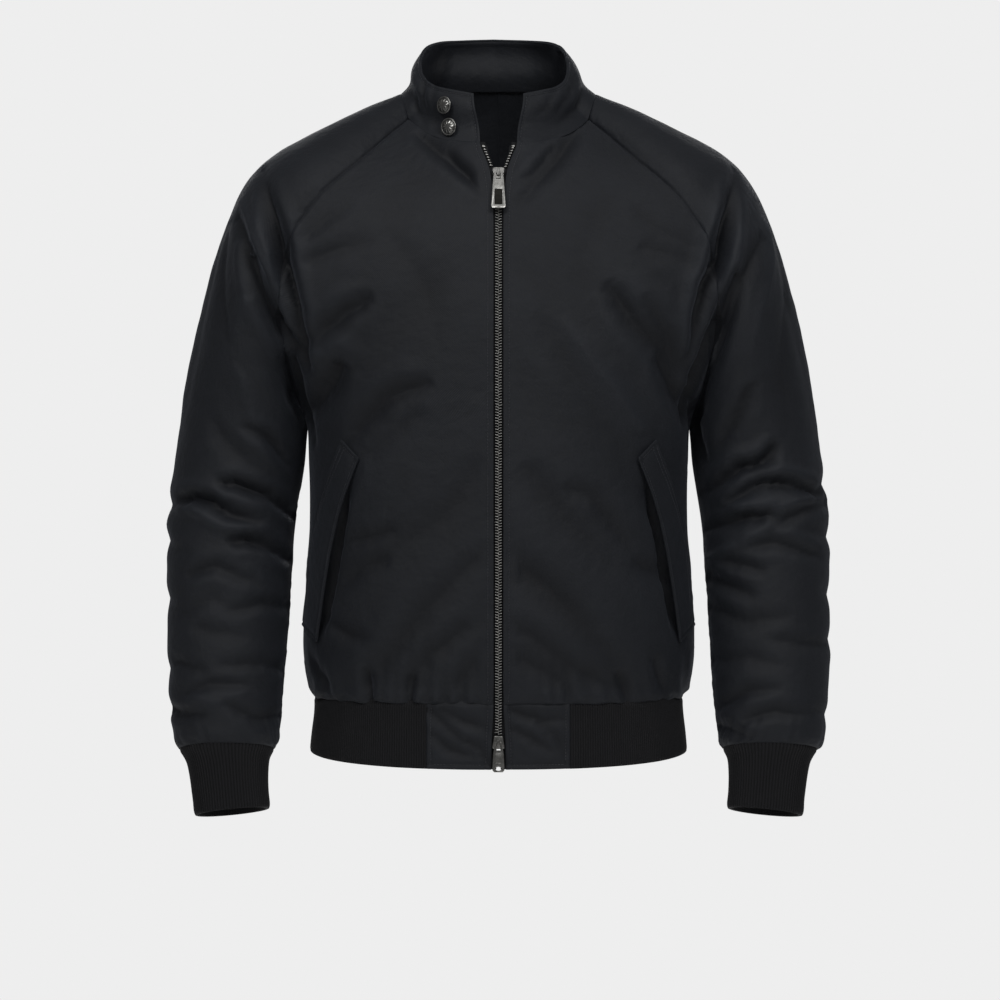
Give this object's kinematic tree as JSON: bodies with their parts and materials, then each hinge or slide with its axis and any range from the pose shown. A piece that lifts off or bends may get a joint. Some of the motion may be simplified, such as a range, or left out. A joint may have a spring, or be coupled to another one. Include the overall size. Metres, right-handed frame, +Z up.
{
  "type": "harrington jacket",
  "caption": "Waist-length raglan-sleeved jacket in worn shape, with a stand collar, two-way front zip, slanted pocket flaps and rib-knit cuffs and waistband.",
  "frame": {"origin": "centre of the neck opening, where the wearer's neck and shoulders hold the jacket", "axes": "+Z up, the front faces -Y, the wearer's left is +X"},
  "size_m": [0.6592, 0.2821, 0.7821],
  "materials": {
    "shell": "brushed cotton-nylon twill, matt with a soft sheen",
    "rib": "ribbed knit, matt",
    "tape": "woven zip tape",
    "metal": "aged silver plating over zinc and brass"
  },
  "bodies": {
    "jacket": {"front_left": "shell", "front_right": "shell", "back": "shell", "sleeve_left": "shell", "sleeve_right": "shell", "collar": "shell", "waist_panel_left": "shell", "waist_panel_right": "shell", "pocket_flap_left": "shell", "pocket_flap_right": "shell", "rib_waistband": "rib", "rib_cuff_left": "rib", "rib_cuff_right": "rib", "zip_tape_left": "tape", "zip_tape_right": "tape", "zip_top_teeth_left": "metal", "zip_top_teeth_right": "metal", "zip_chain": "metal", "top_slider": "metal", "bottom_slider": "metal", "collar_button_upper": "metal", "collar_button_lower": "metal"},
    "top_pull": {"top_pull": "metal"},
    "bottom_pull": {"bottom_pull": "metal"}
  },
  "joints": [
    {"name": "top_pull_hinge", "type": "hinge", "parent": "jacket", "child": "top_pull", "pos_m": [0, -0.10892, -0.08213], "axis": [-1, 0, 0], "range_deg": [0, 160]},
    {"name": "bottom_pull_hinge", "type": "hinge", "parent": "jacket", "child": "bottom_pull", "pos_m": [0, -0.14172, -0.63311], "axis": [-1, 0, 0], "range_deg": [0, 160]}
  ]
}
